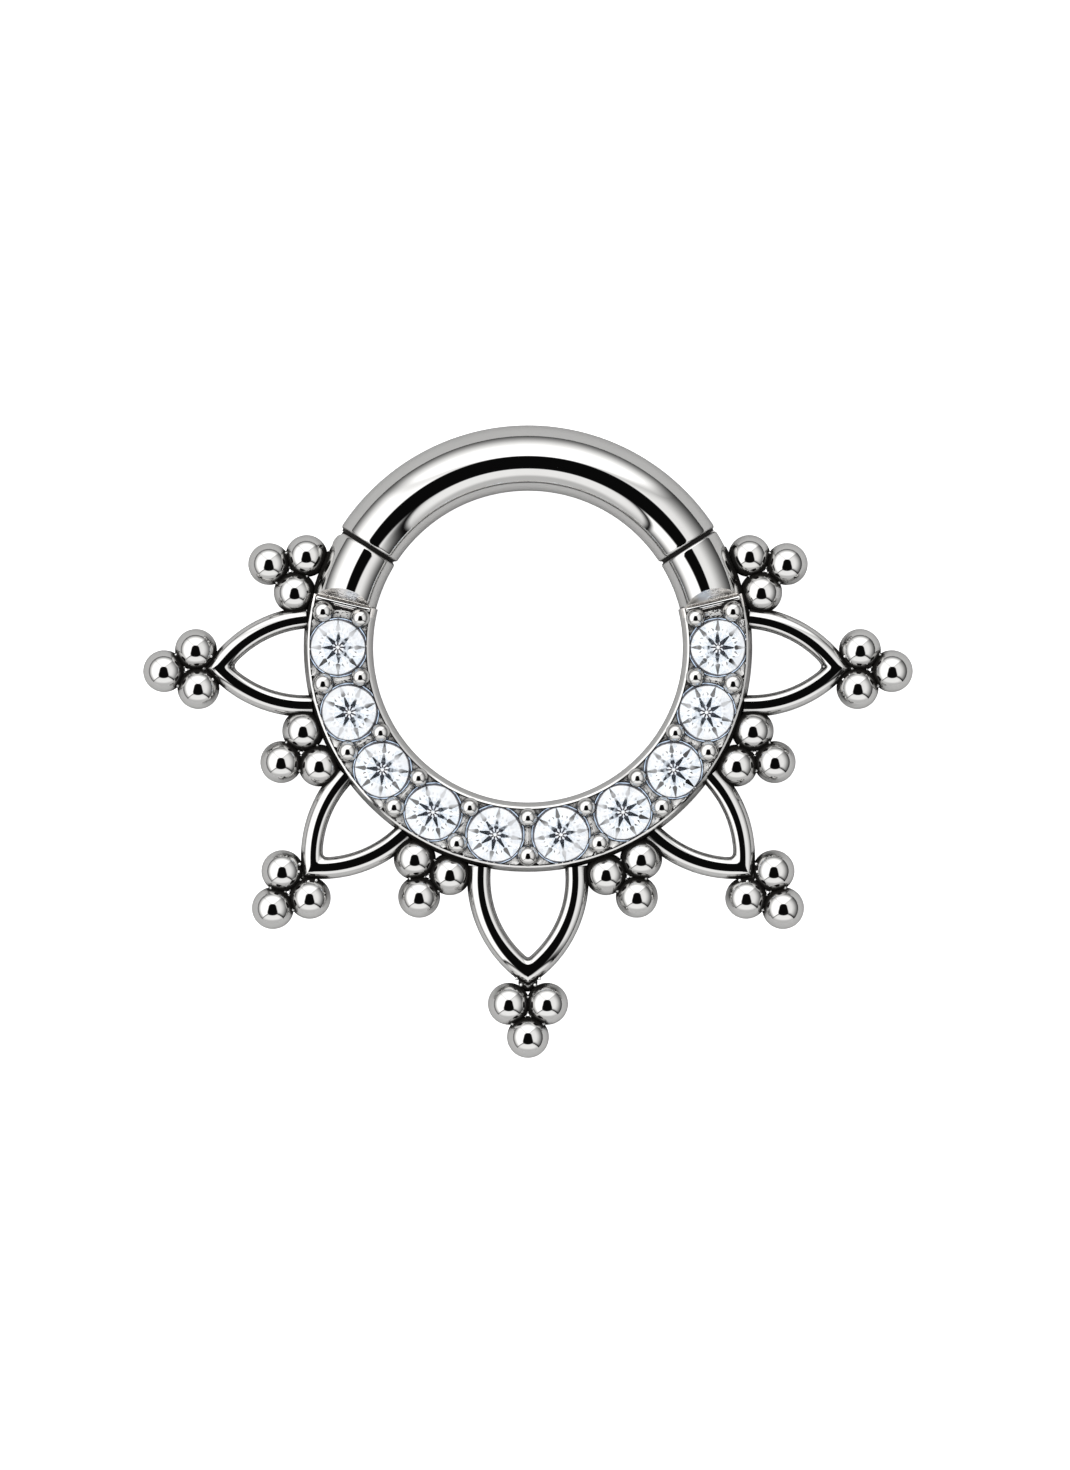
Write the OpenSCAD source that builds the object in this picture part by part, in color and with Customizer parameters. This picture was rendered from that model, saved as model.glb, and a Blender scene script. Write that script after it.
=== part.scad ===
// Hinged hoop for a piercing, with a stone-set band, wire petals and trios of beads.
// The hoop lies on its back. Its axis is +Z, the bar that opens is towards +Y, and z = 0 is
// the surface that it rests on. Angles go round the hoop from the bottom, -Y, towards +X.

/* [Hoop] */
// Clear diameter inside the hoop
clear_d = 8; // [7.9:0.05:8.3]
// Diameter of the round bar and of the two plain sleeves
bar_d = 1.7; // [1.68:0.01:1.72]
// Angle of each seam between a sleeve and the bar
seam_angle = 122.4; // [121.5:0.1:123]
// Gap at each seam
seam_gap = 0.05; // [0.03:0.01:0.06]

/* [Setting] */
// Diameter of the band's round section before its front is cut flat
band_d = 1.8; // [1.78:0.01:1.84]
// Depth of metal cut from the front of the band
flat_depth = 0.434; // [0.42:0.002:0.44]
// Angle at which the band ends and a sleeve starts
band_angle = 104.2; // [103.8:0.1:104.6]
// Width of the bright-cut rail along the edges of the flat
rail_w = 0.07; // [0.05:0.01:0.09]
// Width of the rail across each end of the flat
end_rail_w = 0.14; // [0.1:0.01:0.16]
// Depth of the floor between the rails
floor_depth = 0.06; // [0.04:0.01:0.08]
// Length of the slanted face from the flat up to the top of the sleeve
shoulder_len = 0.18; // [0.14:0.01:0.22]

/* [Stones] */
// Diameter of each stone
stone_d = 1.5; // [1.46:0.01:1.5]
// Angle from one stone to the next
stone_pitch = 20; // [20:0.1:20.2]
// Table width as a share of the stone's diameter
table_ratio = 0.55; // [0.5:0.01:0.6]
// Angle of the crown's main facets
crown_angle = 34.5; // [32:0.5:36]
// Angle of the pavilion's main facets
pavilion_angle = 40.75; // [39:0.25:41.5]
// Height of the girdle
girdle_h = 0.045; // [0.03:0.005:0.06]
// Depth of the girdle's upper edge below the flat
girdle_sink = 0.04; // [0.03:0.01:0.05]
// Gap between a stone and the metal round it
stone_gap = 0.01; // [0.008:0.001:0.012]

/* [Prongs] */
// Diameter of the bead prongs nearest the outside of the band
outer_prong_d = 0.56; // [0.52:0.01:0.58]
// Diameter of the bead prongs nearest the inside of the band
inner_prong_d = 0.5; // [0.46:0.01:0.52]
// Distance of the outer prongs from the middle of the band
outer_prong_shift = 0.47; // [0.45:0.01:0.49]
// Distance of the inner prongs from the middle of the band
inner_prong_shift = 0.51; // [0.49:0.01:0.53]

/* [Beads] */
// Diameter of the soldered beads
bead_d = 1.09; // [1.06:0.01:1.12]
// Distance between the centres of two beads of a trio
bead_step = 0.99; // [0.96:0.01:1.02]
// Depth to which the lower beads of a band trio sink into the band
bead_sink = 0.17; // [0.14:0.01:0.19]
// Angles of the trios soldered to the band, on each side
band_trio_angles = [23.6, 65.1, 107.9];

/* [Petals] */
// Height of the petal wire's section over its width
wire_ratio = 1.3; // [1.1:0.1:1.4]
// Diameter of the spot of solder between a petal's tip and its beads
solder_d = 0.66; // [0.6:0.02:0.7]

/* [Hinge and clasp] */
// Diameter of the hinge pin
pin_d = 0.32; // [0.28:0.01:0.34]
// Distance of the pin from the middle of the sleeve, towards the outside of the hoop
pin_shift = 0.52; // [0.51:0.01:0.53]
// Distance of the pin from the seam, inside the sleeve
pin_inset = 0.33; // [0.32:0.01:0.34]
// Half of the pin's length
pin_half = 0.41; // [0.38:0.01:0.42]
// Radial clearance between the pin and the knuckle that turns on it
pin_play = 0.025; // [0.02:0.005:0.03]
// Radius of the knuckle on the bar
knuckle_r = 0.3; // [0.29:0.005:0.305]
// Thickness of the knuckle and of the clasp tongue
tongue_h = 0.44; // [0.4:0.02:0.5]
// Width of the clasp tongue
tongue_w = 0.7; // [0.6:0.02:0.8]
// Length of the clasp tongue
tongue_len = 0.5; // [0.4:0.02:0.6]
// Clearance round the knuckle and the tongue in their slots
slot_play = 0.03; // [0.02:0.005:0.04]

/* [Hidden] */
$fn = 64;
stone_count = 10;

clear_r = clear_d / 2;
bar_r = bar_d / 2;
band_r = band_d / 2;
// The middle line of the band, the sleeves and the bar is one circle of this radius, and every
// bead and petal lies at the same height as it
ring_r = clear_r + band_r;
mid_z = band_r;
band_edge_r = clear_r + band_d;
flat_z = band_d - flat_depth;
floor_z = flat_z - floor_depth;
bar_top_z = mid_z + bar_r;
flat_half_w = sqrt(band_r * band_r - (flat_z - mid_z) * (flat_z - mid_z));
half_gap_angle = asin(seam_gap / 2 / ring_r);
// Each sleeve starts this far inside the band, and its shoulder this far
sleeve_root = 0.08;
shoulder_root = 0.02;
// A length that reaches past the metal from wherever a cut starts
clear_of_metal = 3;
// Cuts run this far past a face that they open
overrun = 0.1;

// The petals: each row gives the angle from the bottom, and then, above the band's edge, the
// spring line of the pointed arch, the wire's middle at the tip and the lower beads of the tip's
// trio. The half width is that of the wire's middle at the spring line.
PETAL_ANGLE = 0;
PETAL_HALF_W = 1;
PETAL_SPRING = 2;
PETAL_TIP = 3;
PETAL_BEADS = 4;
PETAL_WIRE_W = 5;
petals = [
    [0, 1.28, 0.17, 2.61, 3.41, 0.62],
    [44.4, 1.09, -0.16, 2.18, 2.77, 0.58],
    [86.3, 1.15, -0.16, 2.24, 2.77, 0.58]
];
// Distance from the wire's middle at a petal's tip to the solder beyond it
solder_rise = 0.21;
// The legs of a petal start this far inside the band's edge
foot_depth = 0.14;

bead_r = bead_d / 2;
trio_rise = bead_step * sqrt(3) / 2;
band_trio_rise = bead_r - bead_sink;

// The stones have eight main facets, and the half facets lie between them
main_step = 45;
half_step = main_step / 2;
stone_r = stone_d / 2;
seat_r = stone_r + stone_gap;
girdle_top_z = flat_z - girdle_sink;
girdle_low_z = girdle_top_z - girdle_h;
table_r = table_ratio * stone_r;
table_z = girdle_top_z + (stone_r - table_r) * tan(crown_angle);
culet_z = girdle_low_z - stone_r * tan(pavilion_angle);
// The crown's middle corners lie on the main facets, halfway from the table's edge to the girdle
crown_mid_r = (table_r * cos(half_step) + stone_r) / 2;
crown_mid_z = girdle_top_z + (stone_r - crown_mid_r * cos(half_step)) * tan(crown_angle);
// The pavilion's middle corners lie low on its main facets
pavilion_mid_r = 0.18;
pavilion_mid_z = girdle_low_z - (stone_r - pavilion_mid_r * cos(half_step)) * tan(pavilion_angle);
// The seats are cut up to this height above the girdle, past the prongs
seat_rise = 0.45;
// Height of the prongs' centres above the floor
prong_lift = 0.05;

pin_ring_r = ring_r + pin_shift;
// The tongues are rooted this far inside the bar, by a neck that is narrower on each side
root_depth = 0.3;
neck_step = 0.03;
cheek_r = pin_inset - seam_gap / 2;
knuckle_slot_r = knuckle_r + slot_play;
slot_h = tongue_h + 2 * slot_play;

// A place on the hoop: x points out from the hoop's middle and y goes round it
module at(angle, r) {
    rotate([0, 0, angle - 90]) translate([r, 0, 0]) children();
}

// The same piece at an angle on the right and on the left
module on_both_sides(angle) {
    children(0);
    if (angle > 0) mirror([1, 0, 0]) children(0);
}

// A stretch of the round bar, bent to the hoop
module bent_bar(from_angle, to_angle) {
    rotate([0, 0, from_angle - 90])
        rotate_extrude(angle = to_angle - from_angle)
            translate([ring_r, mid_z]) circle(r = bar_r);
}

// The band before the stones' seats are cut: a bent rod whose front is flat, with a sunk floor
module band() {
    rotate([0, 0, -band_angle - 90])
        rotate_extrude(angle = 2 * band_angle)
            difference() {
                translate([ring_r, mid_z]) circle(r = band_r);
                translate([clear_r, flat_z]) square([band_d, band_d]);
            }
}

module band_floor() {
    end_rail_angle = asin(end_rail_w / ring_r);
    rotate([0, 0, -band_angle + end_rail_angle - 90])
        rotate_extrude(angle = 2 * (band_angle - end_rail_angle))
            translate([ring_r - flat_half_w + rail_w, floor_z])
                square([2 * (flat_half_w - rail_w), band_d]);
}

// A plain sleeve to the seam. It is rooted in the band, and its slanted shoulder starts just
// before the end of the flat
module sleeve() {
    rise = bar_top_z - flat_z;
    difference() {
        bent_bar(band_angle - asin(sleeve_root / ring_r), seam_angle - half_gap_angle);
        at(band_angle, ring_r)
            rotate([90, 0, 90])
                linear_extrude(height = clear_of_metal, center = true) translate([-shoulder_root, 0])
                    polygon([
                        [-shoulder_len, flat_z - rise],
                        [2 * shoulder_len, flat_z + 2 * rise],
                        [-shoulder_len, flat_z + 2 * rise]
                    ]);
    }
}

module prong_pair(angle) {
    at(angle, ring_r) {
        translate([outer_prong_shift, 0, floor_z + prong_lift]) sphere(d = outer_prong_d);
        translate([-inner_prong_shift, 0, floor_z + prong_lift]) sphere(d = inner_prong_d);
    }
}

// The seat of one stone: the stone's own outline turned round its axis, with the gap added
module seat() {
    crown_run = (stone_r - crown_mid_r) / (crown_mid_z - girdle_top_z);
    rotate_extrude()
        polygon([
            [0, culet_z - 2 * stone_gap],
            [pavilion_mid_r, pavilion_mid_z - 2 * stone_gap],
            [seat_r, girdle_low_z - stone_gap],
            [seat_r, girdle_top_z + stone_gap],
            [seat_r - crown_run * (seat_rise - stone_gap), girdle_top_z + seat_rise],
            [0, girdle_top_z + seat_rise]
        ]);
}

// Three beads soldered to each other: two side by side on x = 0 and one beyond them
module trio() {
    for (y = [-1, 1]) translate([0, y * bead_step / 2, mid_z]) sphere(r = bead_r);
    translate([trio_rise, 0, mid_z]) sphere(r = bead_r);
}

// One leg of a petal: an arc of wire, cut off in the plane where it meets the other leg
module petal_leg(row) {
    rise = row[PETAL_TIP] - row[PETAL_SPRING];
    half_w = row[PETAL_HALF_W];
    middle_y = (rise * rise - half_w * half_w) / (2 * half_w);
    bend_r = half_w + middle_y;
    spring_r = band_edge_r + row[PETAL_SPRING];
    foot_turn = asin((row[PETAL_SPRING] + foot_depth) / bend_r);
    // The wire is drawn on until all of its outer side is past the plane where it is cut off
    tip_turn = acos(middle_y / (bend_r + row[PETAL_WIRE_W]));
    intersection() {
        translate([spring_r, -middle_y, mid_z])
            rotate([0, 0, 90 - tip_turn])
                rotate_extrude(angle = tip_turn + foot_turn)
                    translate([bend_r, 0]) scale([1, wire_ratio]) circle(d = row[PETAL_WIRE_W]);
        translate([clear_r, 0, 0]) cube([2 * clear_r, clear_r, band_d]);
    }
}

module petal(row) {
    at(row[PETAL_ANGLE], 0) {
        petal_leg(row);
        mirror([0, 1, 0]) petal_leg(row);
        translate([band_edge_r + row[PETAL_TIP] + solder_rise, 0, mid_z]) sphere(d = solder_d);
        translate([band_edge_r + row[PETAL_BEADS], 0, 0]) trio();
    }
}

// The slot in the sleeve for the hinge knuckle, with the pin's hole and the rounded cheeks
module hinge_slot() {
    at(seam_angle, pin_ring_r) translate([0, -pin_inset, mid_z]) {
        cylinder(r = knuckle_slot_r, h = slot_h, center = true);
        translate([0, -knuckle_slot_r, -slot_h / 2])
            cube([clear_of_metal, knuckle_slot_r + pin_inset + overrun, slot_h]);
        translate([-knuckle_slot_r, 0, -slot_h / 2])
            cube([knuckle_slot_r + overrun, pin_inset + overrun, slot_h]);
        translate([0, 0, -clear_of_metal])
            cylinder(d = pin_d + 2 * stone_gap, h = clear_of_metal + pin_half + stone_gap);
        difference() {
            translate([0, 0, -clear_of_metal])
                cube([clear_of_metal, pin_inset + overrun, 2 * clear_of_metal]);
            cylinder(r = cheek_r, h = 3 * clear_of_metal, center = true);
        }
    }
}

// The slot in the other sleeve for the clasp tongue, open to the outside of the hoop
module clasp_slot() {
    at(seam_angle, ring_r)
        translate([-tongue_w / 2 - slot_play, -tongue_len - slot_play, mid_z - slot_h / 2])
            cube([clear_of_metal, slot_play + tongue_len + overrun, slot_h]);
}

// A flat tongue from the bar's end at y = 0, with a round nose
module tongue(nose_r, nose_y) {
    neck_w = 2 * (nose_r - neck_step);
    translate([0, nose_y, 0]) cylinder(r = nose_r, h = tongue_h, center = true);
    translate([-neck_w / 2, nose_y, -tongue_h / 2]) cube([neck_w, root_depth - nose_y, tongue_h]);
}

module clasp_tongue() {
    at(seam_angle, ring_r)
        translate([0, 0, mid_z]) tongue(tongue_w / 2, tongue_w / 2 - tongue_len);
}

module knuckle() {
    at(seam_angle, pin_ring_r)
        translate([0, 0, mid_z]) tongue(knuckle_r, -pin_inset);
}

// One solid: the casting with everything that is soldered to it. The hinge is on the left.
module hoop_body() {
    color("silver")
        difference() {
            union() {
                difference() {
                    band();
                    band_floor();
                }
                difference() {
                    sleeve();
                    clasp_slot();
                }
                mirror([1, 0, 0]) difference() {
                    sleeve();
                    hinge_slot();
                }
                for (i = [-stone_count / 2:stone_count / 2]) prong_pair(i * stone_pitch);
                for (row = petals) on_both_sides(row[PETAL_ANGLE]) petal(row);
                for (angle = band_trio_angles)
                    on_both_sides(angle) at(angle, band_edge_r + band_trio_rise) trio();
            }
            for (i = [1:stone_count]) at_stone(i) seat();
        }
}

module clicker_bar() {
    color("silver")
        difference() {
            union() {
                bent_bar(seam_angle + half_gap_angle, 360 - seam_angle - half_gap_angle);
                clasp_tongue();
                mirror([1, 0, 0]) knuckle();
            }
            mirror([1, 0, 0])
                at(seam_angle, pin_ring_r) translate([0, -pin_inset, mid_z])
                    cylinder(d = pin_d + 2 * pin_play, h = 2 * tongue_h, center = true);
        }
}

// The pin goes in from the back, and its end is polished flush with the sleeve
module hinge_pin() {
    color("gainsboro")
        mirror([1, 0, 0])
            intersection() {
                bent_bar(band_angle, 180);
                at(seam_angle, pin_ring_r) translate([0, -pin_inset, mid_z - clear_of_metal])
                    cylinder(d = pin_d, h = clear_of_metal + pin_half);
            }
}

module at_stone(i) {
    at((i - (stone_count + 1) / 2) * stone_pitch, ring_r) children();
}

function corners(r, z, count, turn) =
    [for (k = [0:count - 1]) let (a = turn + k * 360 / count) [r * cos(a), r * sin(a), z]];

// A brilliant: table, 8 star, 8 main and 16 half facets above the girdle, 16 and 8 below it
module stone() {
    table = 0;
    mid = 8;
    upper = 16;
    lower = 32;
    low_mid = 48;
    culet = 56;
    points = concat(
        corners(table_r, table_z, 8, 0),
        corners(crown_mid_r, crown_mid_z, 8, half_step),
        corners(stone_r, girdle_top_z, 16, 0),
        corners(stone_r, girdle_low_z, 16, 0),
        corners(pavilion_mid_r, pavilion_mid_z, 8, half_step),
        [[0, 0, culet_z]]
    );
    table_face = [[for (k = [7:-1:0]) table + k]];
    eighths = [for (k = [0:7]) let (n = (k + 1) % 8, before = (k + 7) % 8, g = 2 * k) each [
        [table + k, table + n, mid + k],
        [table + k, mid + k, upper + g, mid + before],
        [mid + k, upper + g + 1, upper + g],
        [mid + k, upper + 2 * n, upper + g + 1],
        [low_mid + k, lower + g, lower + g + 1],
        [low_mid + k, lower + g + 1, lower + 2 * n],
        [culet, low_mid + before, lower + g, low_mid + k]
    ]];
    girdle = [for (g = [0:15]) let (n = (g + 1) % 16)
        [upper + g, upper + n, lower + n, lower + g]];
    polyhedron(points = points, faces = concat(table_face, eighths, girdle));
}

module set_stone(i) {
    color("white") at_stone(i) stone();
}

hoop_body();
clicker_bar();
hinge_pin();
set_stone(1);  // stone_01
set_stone(2);  // stone_02
set_stone(3);  // stone_03
set_stone(4);  // stone_04
set_stone(5);  // stone_05
set_stone(6);  // stone_06
set_stone(7);  // stone_07
set_stone(8);  // stone_08
set_stone(9);  // stone_09
set_stone(10);  // stone_10
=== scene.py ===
"""A hinged clicker hoop with stones, wire petals and beads, lying on a light table.

Pieces are modelled in millimetres, where the hoop's axis is Z and angles go round it from the
bottom, -Y, towards +X. Each finished piece is brought to the frame's metres.
"""

import math
from contextlib import contextmanager
from types import SimpleNamespace

import bmesh
import bpy
from bpy.props import FloatProperty, FloatVectorProperty, PointerProperty
from mathutils import Matrix, Vector


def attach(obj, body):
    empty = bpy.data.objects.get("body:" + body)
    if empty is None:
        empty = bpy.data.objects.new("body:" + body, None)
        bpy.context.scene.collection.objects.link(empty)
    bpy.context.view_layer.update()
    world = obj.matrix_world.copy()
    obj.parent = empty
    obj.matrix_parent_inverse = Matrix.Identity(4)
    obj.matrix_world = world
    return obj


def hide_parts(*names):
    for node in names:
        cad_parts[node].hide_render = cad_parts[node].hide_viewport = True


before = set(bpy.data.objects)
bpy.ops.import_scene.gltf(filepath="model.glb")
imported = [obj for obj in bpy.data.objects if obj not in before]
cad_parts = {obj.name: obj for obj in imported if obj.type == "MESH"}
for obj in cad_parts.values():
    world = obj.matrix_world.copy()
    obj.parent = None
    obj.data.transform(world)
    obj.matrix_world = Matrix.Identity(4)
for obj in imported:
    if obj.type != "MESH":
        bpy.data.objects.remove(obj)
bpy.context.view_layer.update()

bl_info = {
    "name": "Clicker hoop",
    "version": (1, 0, 0),
    "blender": (4, 5, 0),
    "location": "View3D > Sidebar > Hoop",
    "description": "Models a stone-set clicker hoop and the table it is photographed on",
    "category": "Add Mesh",
}

MM = 0.001
STONES = [f"stone_{number:02d}" for number in range(1, 11)]
# Angles from the bottom at which a trio of beads is soldered to the band, on both sides
BAND_TRIOS = [math.radians(angle) for angle in (23.6, 65.1, 107.9)]
# Of each petal, in degrees and millimetres: its angle from the bottom, half its width, the heights
# above the band's edge of the arch's spring line, of the wire's middle at the tip and of the lower
# beads, and the wire's thickness
PETALS = [
    SimpleNamespace(name="bottom", angle=0.0, half_w=1.28, spring=0.17, tip=2.61, beads=3.41,
                    wire=0.62),
    SimpleNamespace(name="lower", angle=44.4, half_w=1.09, spring=-0.16, tip=2.18, beads=2.77,
                    wire=0.58),
    SimpleNamespace(name="side", angle=86.3, half_w=1.15, spring=-0.16, tip=2.24, beads=2.77,
                    wire=0.58),
]
# In millimetres: the play of a stone in its seat and of the pin in its bore, the step down from the
# bar to its collars, and how far the sleeves and the end rims lie back over the band's ends
SEAT_PLAY, BORE_PLAY, COLLAR_STEP, END_LAP = 0.012, 0.025, 0.07, 0.08


# Settings

class HoopSizes(bpy.types.PropertyGroup):
    """Sizes of the hoop's metal."""

    clear_diameter: FloatProperty(
        name="Clear diameter", description="Clear diameter inside the hoop",
        default=8 * MM, unit="LENGTH")
    bar_thickness: FloatProperty(
        name="Bar thickness", description="Diameter of the round bar and sleeves",
        default=1.7 * MM, unit="LENGTH")
    band_width: FloatProperty(
        name="Band width", description="Width of the stone-set band",
        default=1.8 * MM, unit="LENGTH")
    flat_depth: FloatProperty(
        name="Flat depth", description="Depth of metal cut from the front of the band",
        default=0.434 * MM, unit="LENGTH")
    rail: FloatProperty(
        name="Rail", description="Width of the bright-cut rail round the flat",
        default=0.055 * MM, unit="LENGTH")
    end_rail: FloatProperty(
        name="End rail", description="Width of the rail across each end of the band",
        default=0.03 * MM, unit="LENGTH")
    rail_bevel: FloatProperty(
        name="Rail bevel", description="Width of the bright line along the rails",
        default=0.03 * MM, unit="LENGTH")
    cut_slope: FloatProperty(
        name="Cut slope", description="Slope of the bright cuts round the stones",
        default=math.radians(23), unit="ROTATION")
    band_angle: FloatProperty(
        name="Band angle", description="Angle from the bottom at which the band ends",
        default=math.radians(104.2), unit="ROTATION")
    seam_angle: FloatProperty(
        name="Seam angle", description="Angle from the bottom of the seams of the bar",
        default=math.radians(122.4), unit="ROTATION")
    seam_gap: FloatProperty(
        name="Seam gap", description="Gap between the bar and a sleeve",
        default=0.05 * MM, unit="LENGTH")
    edge_round: FloatProperty(
        name="Edge rounding", description="Rounding of the bar's and the sleeves' ends",
        default=0.09 * MM, unit="LENGTH")
    shoulder: FloatProperty(
        name="Shoulder", description="Length of the slanted face behind the band",
        default=0.3 * MM, unit="LENGTH")
    bead: FloatProperty(
        name="Bead", description="Diameter of a soldered bead",
        default=1.09 * MM, unit="LENGTH")
    bead_step: FloatProperty(
        name="Bead step", description="Distance between the middles of two beads of a trio",
        default=0.99 * MM, unit="LENGTH")
    bead_sink: FloatProperty(
        name="Bead sink", description="Depth to which a band trio's lower beads sink in the band",
        default=0.17 * MM, unit="LENGTH")
    outer_prong: FloatProperty(
        name="Outer prong", description="Diameter of the bead prongs on the outside of the band",
        default=0.56 * MM, unit="LENGTH")
    inner_prong: FloatProperty(
        name="Inner prong", description="Diameter of the bead prongs on the inside of the band",
        default=0.5 * MM, unit="LENGTH")
    stone: FloatProperty(
        name="Stone", description="Diameter of a stone",
        default=1.5 * MM, unit="LENGTH")
    stone_pitch: FloatProperty(
        name="Stone pitch", description="Angle from one stone to the next",
        default=math.radians(20), unit="ROTATION")
    girdle_sink: FloatProperty(
        name="Girdle sink", description="Depth of a stone's girdle under the rails",
        default=0.04 * MM, unit="LENGTH")
    girdle: FloatProperty(
        name="Girdle", description="Thickness of a stone's girdle",
        default=0.045 * MM, unit="LENGTH")
    pin: FloatProperty(
        name="Pin", description="Diameter of the hinge pin",
        default=0.32 * MM, unit="LENGTH")
    pin_shift: FloatProperty(
        name="Pin shift", description="Distance of the hinge pin outwards from the middle line",
        default=0.52 * MM, unit="LENGTH")
    pin_inset: FloatProperty(
        name="Pin inset", description="Distance of the hinge pin from the seam",
        default=0.33 * MM, unit="LENGTH")
    knuckle: FloatProperty(
        name="Knuckle", description="Width of the rounded knuckle that turns on the pin",
        default=0.6 * MM, unit="LENGTH")
    tongue: FloatProperty(
        name="Tongue", description="Width of the clasp's tongue",
        default=0.7 * MM, unit="LENGTH")
    tongue_length: FloatProperty(
        name="Tongue length", description="Length of the clasp's tongue",
        default=0.5 * MM, unit="LENGTH")
    tongue_height: FloatProperty(
        name="Tongue height", description="Height of the knuckle and the tongue",
        default=0.44 * MM, unit="LENGTH")
    play: FloatProperty(
        name="Play", description="Play of the knuckle and the tongue in their slots",
        default=0.03 * MM, unit="LENGTH")


class HoopFinish(bpy.types.PropertyGroup):
    """Colours and polish of the hoop."""

    steel: FloatVectorProperty(
        name="Steel", description="Colour of the polished steel",
        default=(0.6, 0.595, 0.585), subtype="COLOR")
    # Painted shade: the near-black colour the steel is given deep between soldered pieces, where
    # shade falls
    crevice_shade: FloatVectorProperty(
        name="Crevices", description="Colour of the steel deep between soldered pieces",
        default=(0.012, 0.011, 0.01), subtype="COLOR")
    polish: FloatProperty(
        name="Polish", description="Roughness of the mirror polish",
        default=0.025, min=0, max=1, subtype="FACTOR")
    stone: FloatVectorProperty(
        name="Stone", description="Colour of the clear stones",
        default=(0.97, 0.985, 1.0), subtype="COLOR")


class StudioSettings(bpy.types.PropertyGroup):
    """The table, the softboxes and the camera."""

    table_size: FloatProperty(
        name="Table size", description="Width of the light table",
        default=3.0, unit="LENGTH")
    camera_height: FloatProperty(
        name="Camera height", description="Height of the camera above the table",
        default=0.2, unit="LENGTH")
    frame_height: FloatProperty(
        name="Frame height", description="Height of the picture's frame on the table",
        default=38.18 * MM, unit="LENGTH")
    softbox: FloatProperty(
        name="Softbox light", description="Brightness of the softboxes",
        default=1.95, min=0)


def in_millimetres(group):
    """A group's lengths in millimetres, and its other values as they are."""
    values = {}
    for key, declared in group.bl_rna.properties.items():
        if key in ("name", "rna_type"):
            continue
        value = getattr(group, key)
        values[key] = value / MM if declared.unit == "LENGTH" else value
    return SimpleNamespace(**values)


def sizes():
    """The hoop's sizes, with those that follow from them."""
    s = in_millimetres(bpy.context.scene.hoop_sizes)
    s.bar_r = s.bar_thickness / 2
    s.band_r = s.band_width / 2
    s.ring_r = s.clear_diameter / 2 + s.band_r
    s.mid_z = s.band_r
    s.band_edge_r = s.ring_r + s.band_r
    s.flat_z = s.band_width - s.flat_depth
    s.girdle_low_z = s.flat_z - s.girdle_sink - s.girdle
    s.seat_r = s.stone / 2 + SEAT_PLAY
    s.flat_half_w = math.sqrt(s.band_r ** 2 - (s.flat_z - s.mid_z) ** 2)
    s.half_gap = math.asin(s.seam_gap / 2 / s.ring_r)
    s.lap_angle = s.band_angle - END_LAP / s.ring_r
    s.bead_r = s.bead / 2
    s.trio_rise = s.bead_step * math.sqrt(3) / 2
    return s


# Modelling by hand

def deselect():
    bpy.ops.object.select_all(action="DESELECT")


def pick(piece):
    """Makes a piece the active one, and the only one selected."""
    deselect()
    piece.select_set(True)
    bpy.context.view_layer.objects.active = piece


def place(angle, r, z=0.0, along=0.0):
    """A point at an angle from the bottom: r out from the axis, and along on round the hoop."""
    out = Vector((math.sin(angle), -math.cos(angle), 0))
    round_ = Vector((math.cos(angle), math.sin(angle), 0))
    return out * r + round_ * along + Vector((0, 0, z))


def angle_of(point):
    """The angle from the bottom of a point."""
    return math.atan2(point.x, -point.y)


def primitive(kind, name, **settings):
    """A new primitive, the only thing selected."""
    deselect()
    getattr(bpy.ops.mesh, f"primitive_{kind}_add")(**settings)
    piece = bpy.context.object
    piece.name = name
    return piece


@contextmanager
def editing(piece, mode="VERT"):
    """Edit mode on one piece, all of it selected and nothing else."""
    pick(piece)
    bpy.ops.object.mode_set(mode="EDIT")
    bpy.ops.mesh.select_mode(type=mode)
    bpy.ops.mesh.select_all(action="SELECT")
    yield
    bpy.ops.object.mode_set(mode="OBJECT")


def select(piece, verts=None, edges=None, faces=None):
    """Selects in edit mode what passes a test.

    It is of a vertex's place, of both ends of an edge, or of a face's middle and normal.
    """
    shape = bmesh.from_edit_mesh(piece.data)
    bpy.ops.mesh.select_all(action="DESELECT")
    if verts:
        for vert in shape.verts:
            vert.select = verts(vert.co)
    if edges:
        for edge in shape.edges:
            edge.select = all(edges(vert.co) for vert in edge.verts)
    if faces:
        for face in shape.faces:
            face.select = faces(face.calc_center_median(), face.normal)
    shape.select_flush_mode()
    bmesh.update_edit_mesh(piece.data)


def use_modifier(piece, kind, **settings):
    """Adds a modifier to a piece and applies it."""
    pick(piece)
    bpy.ops.object.modifier_add(type=kind)
    modifier = piece.modifiers[-1]
    for key, value in settings.items():
        setattr(modifier, key, value)
    bpy.ops.object.modifier_apply(modifier=modifier.name)


def combine(piece, other, operation="DIFFERENCE"):
    """Cuts another shape out of a piece, or adds or keeps it, and throws the other away."""
    use_modifier(piece, "BOOLEAN", operation=operation, object=other, solver="EXACT")
    bpy.data.objects.remove(other)
    return piece


def move_points(piece, where_to):
    """Moves each vertex of a piece to where a function of its place says, in edit mode."""
    for number in range(len(piece.data.vertices)):
        shape = bmesh.from_edit_mesh(piece.data)
        bpy.ops.mesh.select_all(action="DESELECT")
        shape.verts.ensure_lookup_table()
        point = shape.verts[number]
        point.select = True
        shape.select_flush_mode()
        bmesh.update_edit_mesh(piece.data)
        bpy.ops.transform.translate(value=where_to(point.co.copy()) - point.co)


def round_bar(name, spot, radius, z_from, z_to):
    """A round bar that stands upright at a spot of the hoop."""
    return primitive("cylinder", name, vertices=48, radius=radius, depth=z_to - z_from,
                     location=(spot.x, spot.y, (z_from + z_to) / 2))


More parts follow.
